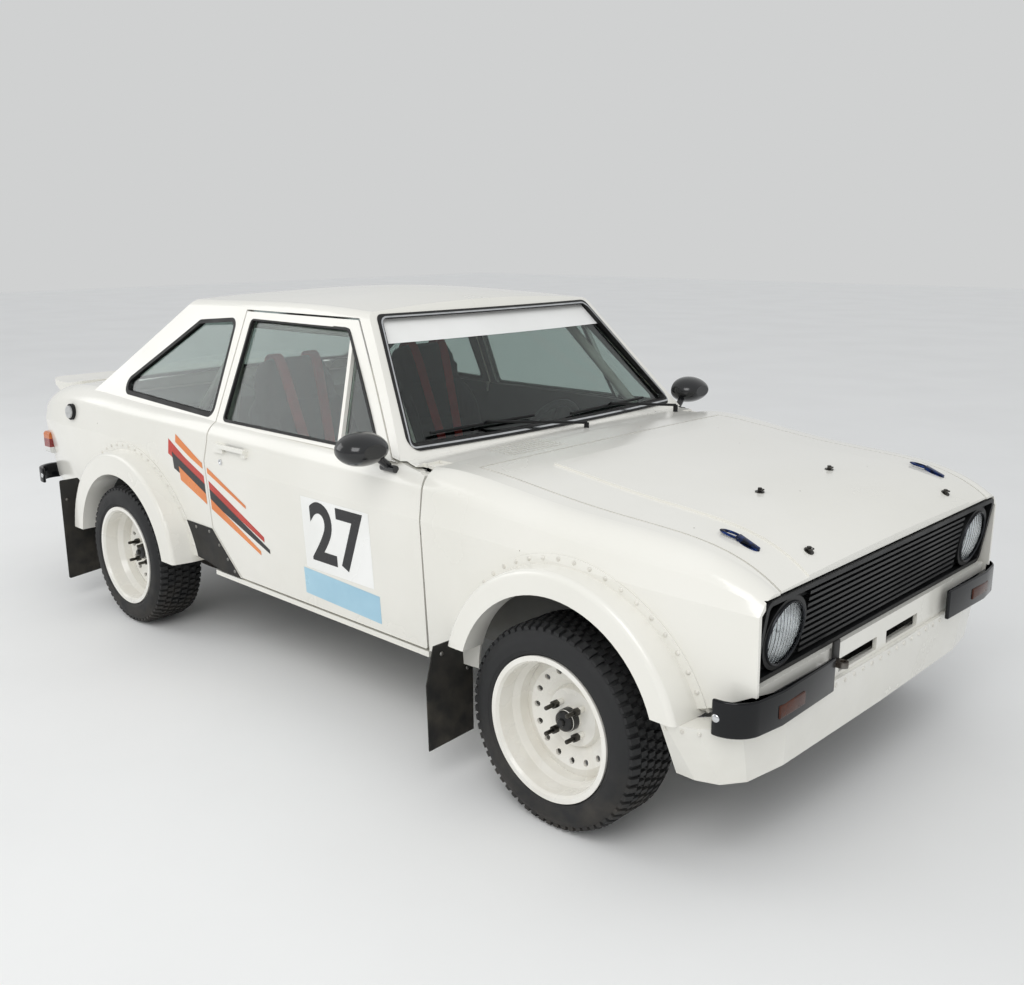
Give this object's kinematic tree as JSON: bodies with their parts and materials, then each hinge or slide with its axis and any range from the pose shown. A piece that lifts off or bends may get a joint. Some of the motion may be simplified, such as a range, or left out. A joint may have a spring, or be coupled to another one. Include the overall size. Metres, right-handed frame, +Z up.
{
  "type": "rally car",
  "caption": "Boxy two-door rally saloon with opening doors, bonnet and boot lid, steered front wheels, wide riveted wheel arches, spoilers, mudflaps and a caged cabin.",
  "frame": {"origin": "on the ground, midway along the overall length and width", "axes": "+X forward, +Y to the left of the car, +Z up"},
  "size_m": [4.0363, 1.8842, 1.4161],
  "materials": {
    "white_paint": "gloss",
    "black_paint": "satin",
    "grey_steel": "satin",
    "cast_metal": "matt",
    "clear_glass": "clear",
    "lamp_glass": "clear",
    "amber_lens": "clear",
    "black_rubber": "matt",
    "tyre_rubber": "matt",
    "black_plastic": "matt",
    "seat_cloth": "woven"
  },
  "bodies": {
    "body": {"arch_flares": "white_paint", "body_glass": "clear_glass", "body_sides": "white_paint", "dashboard": "black_plastic", "engine_and_gearbox": "cast_metal", "exhaust": "grey_steel", "floor_pan": "white_paint", "front_lamps": "lamp_glass", "front_panel": "white_paint", "front_spoiler": "white_paint", "front_suspension": "black_paint", "front_wings": "white_paint", "fuel_cap": "black_plastic", "fuel_tank": "grey_steel", "grille": "black_plastic", "hand_levers": "black_plastic", "quarter_bumpers": "black_plastic", "radiator": "black_paint", "rear_axle": "black_paint", "rear_panel": "white_paint", "roll_cage": "white_paint", "roof_panel": "white_paint", "scuttle": "white_paint", "seats": "seat_cloth", "splash_guards": "black_rubber", "tail_lamps": "amber_lens", "tow_eyes": "grey_steel", "window_seals": "black_rubber", "wipers": "black_plastic"},
    "door_right": {"door_right": "white_paint", "door_glass_right": "clear_glass", "mirror_right": "black_plastic"},
    "door_left": {"door_left": "white_paint", "door_glass_left": "clear_glass", "mirror_left": "black_plastic"},
    "bonnet": {"bonnet": "white_paint"},
    "boot_lid": {"boot_lid": "white_paint", "boot_spoiler": "white_paint"},
    "knuckle_right": {"knuckle_right": "black_paint"},
    "knuckle_left": {"knuckle_left": "black_paint"},
    "tie_rods": {"tie_rods": "grey_steel"},
    "steering_wheel": {"steering_wheel": "black_plastic"},
    "wheel_front_left": {"rim_front_left": "white_paint", "tyre_front_left": "tyre_rubber"},
    "wheel_front_right": {"rim_front_right": "white_paint", "tyre_front_right": "tyre_rubber"},
    "wheel_rear_left": {"rim_rear_left": "white_paint", "tyre_rear_left": "tyre_rubber"},
    "wheel_rear_right": {"rim_rear_right": "white_paint", "tyre_rear_right": "tyre_rubber"}
  },
  "joints": [
    {"name": "door_right_hinge", "type": "hinge", "parent": "body", "child": "door_right", "pos_m": [0.838, -0.779, 0.6], "axis": [0, 0, 1], "range_deg": [0, 65]},
    {"name": "door_left_hinge", "type": "hinge", "parent": "body", "child": "door_left", "pos_m": [0.838, 0.779, 0.6], "axis": [0, 0, -1], "range_deg": [0, 65]},
    {"name": "bonnet_hinge", "type": "hinge", "parent": "body", "child": "bonnet", "pos_m": [0.975, 0, 0.934], "axis": [0, -1, 0], "range_deg": [0, 60]},
    {"name": "boot_hinge", "type": "hinge", "parent": "body", "child": "boot_lid", "pos_m": [-1.425, 0, 0.98], "axis": [0, 1, 0], "range_deg": [0, 65]},
    {"name": "steer_right", "type": "hinge", "parent": "body", "child": "knuckle_right", "pos_m": [1.4035, -0.65, 0.195], "axis": [0, 0.1595, 0.9872], "range_deg": [-28, 28]},
    {"name": "steer_left", "type": "hinge", "parent": "body", "child": "knuckle_left", "pos_m": [1.4035, 0.65, 0.195], "axis": [0, -0.1595, 0.9872], "range_deg": [-28, 28]},
    {"name": "rack_slide", "type": "slide", "parent": "body", "child": "tie_rods", "axis": [0, 1, 0], "range_m": [-0.0555, 0.0555]},
    {"name": "steering_wheel_turn", "type": "hinge", "parent": "body", "child": "steering_wheel", "pos_m": [0.33, 0.37, 0.8], "axis": [-0.9272, 0, 0.3746], "range_deg": [-421, 421]},
    {"name": "wheel_front_right_spin", "type": "hinge", "parent": "knuckle_right", "child": "wheel_front_right", "pos_m": [1.4035, -0.731, 0.297], "axis": [0, 1, 0], "continuous": true},
    {"name": "wheel_front_left_spin", "type": "hinge", "parent": "knuckle_left", "child": "wheel_front_left", "pos_m": [1.4035, 0.731, 0.297], "axis": [0, 1, 0], "continuous": true},
    {"name": "wheel_rear_right_spin", "type": "hinge", "parent": "body", "child": "wheel_rear_right", "pos_m": [-1.0035, -0.731, 0.297], "axis": [0, 1, 0], "continuous": true},
    {"name": "wheel_rear_left_spin", "type": "hinge", "parent": "body", "child": "wheel_rear_left", "pos_m": [-1.0035, 0.731, 0.297], "axis": [0, 1, 0], "continuous": true}
  ],
  "couplings": [
    {"joint": "steer_left", "follows": "steer_right", "ratio": 1},
    {"joint": "rack_slide", "follows": "steer_right", "m_per_rad": -0.112},
    {"joint": "steering_wheel_turn", "follows": "steer_right", "ratio": 15}
  ]
}
